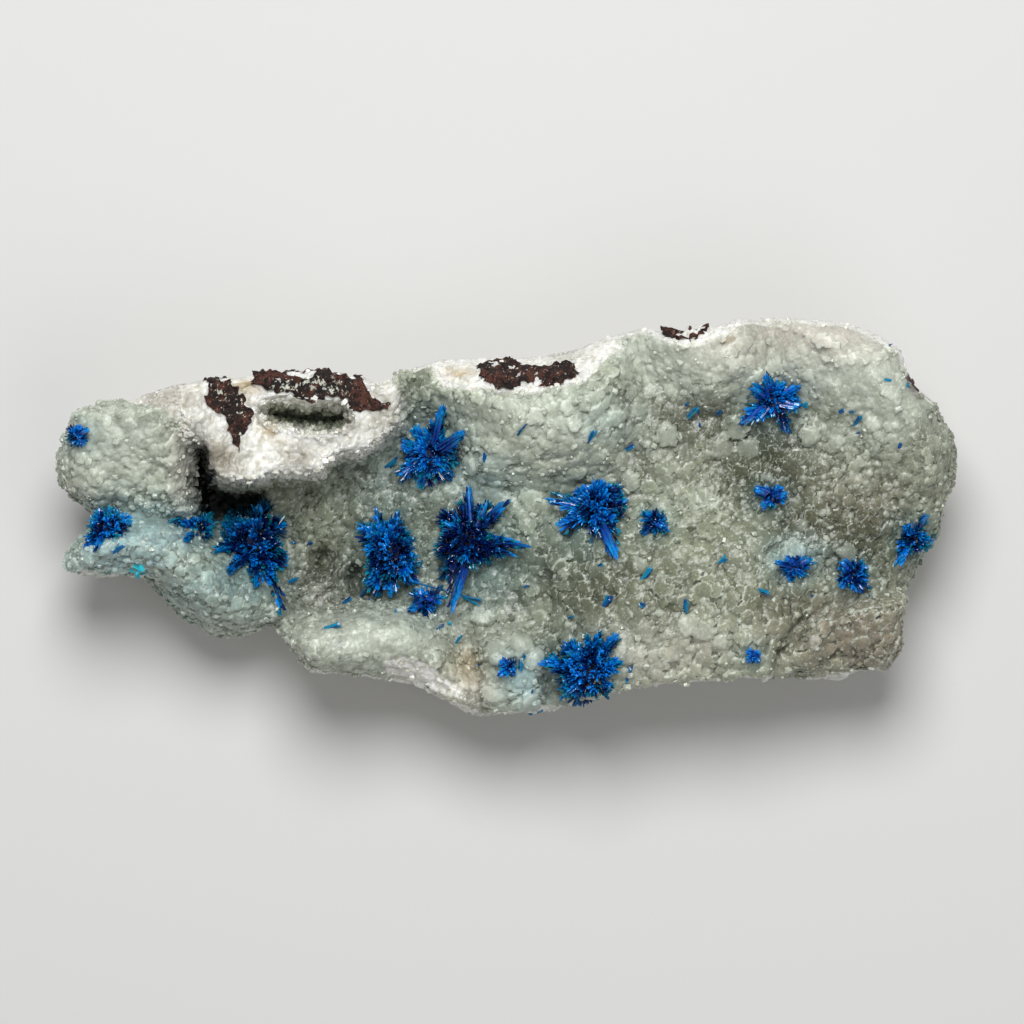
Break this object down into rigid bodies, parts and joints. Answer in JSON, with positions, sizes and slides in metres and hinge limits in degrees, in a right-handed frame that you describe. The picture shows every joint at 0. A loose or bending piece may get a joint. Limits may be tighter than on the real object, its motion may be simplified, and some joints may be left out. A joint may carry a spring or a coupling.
{
  "type": "pentagonite mineral specimen",
  "caption": "Mineral specimen: bursts of blue bladed crystals on a drusy, pale zeolite plate with dark basalt remnants, cut flat at the back so that it lies crystal side up.",
  "frame": {"origin": "on the flat base, under the middle of the bounding box", "axes": "+Z out of the crystal face, +X along the plate to the right of that face, +Y to its top edge"},
  "size_m": [0.12, 0.0539, 0.0284],
  "materials": {
    "zeolite": "satin",
    "basalt": "matte",
    "pentagonite": "gloss"
  },
  "bodies": {
    "root": {"matrix": "zeolite", "basalt_band": "basalt", "basalt_chip": "basalt", "basalt_crumbs": "basalt", "basalt_streak": "basalt", "spray_arm": "pentagonite", "spray_bottom": "pentagonite", "spray_brow": "pentagonite", "spray_centre": "pentagonite", "spray_centre_left": "pentagonite", "spray_channel": "pentagonite", "spray_dot": "pentagonite", "spray_edge": "pentagonite", "spray_fan": "pentagonite", "spray_knob": "pentagonite", "spray_low": "pentagonite", "spray_low_right": "pentagonite", "spray_mid": "pentagonite", "spray_mid_small": "pentagonite", "spray_needles": "pentagonite", "spray_right": "pentagonite", "spray_tongue": "pentagonite", "spray_top": "pentagonite", "crystal_01": "pentagonite", "crystal_02": "pentagonite", "crystal_03": "pentagonite", "crystal_04": "pentagonite", "crystal_05": "pentagonite", "crystal_06": "pentagonite", "crystal_07": "pentagonite", "crystal_08": "pentagonite", "crystal_09": "pentagonite", "crystal_10": "pentagonite", "crystal_11": "pentagonite", "crystal_12": "pentagonite", "crystal_13": "pentagonite", "crystal_14": "pentagonite", "crystal_15": "pentagonite", "crystal_16": "pentagonite", "crystal_17": "pentagonite", "crystal_18": "pentagonite", "crystal_19": "pentagonite", "crystal_20": "pentagonite", "crystal_21": "pentagonite", "crystal_22": "pentagonite", "crystal_23": "pentagonite", "crystal_24": "pentagonite", "crystal_25": "pentagonite"}
  },
  "joints": []
}
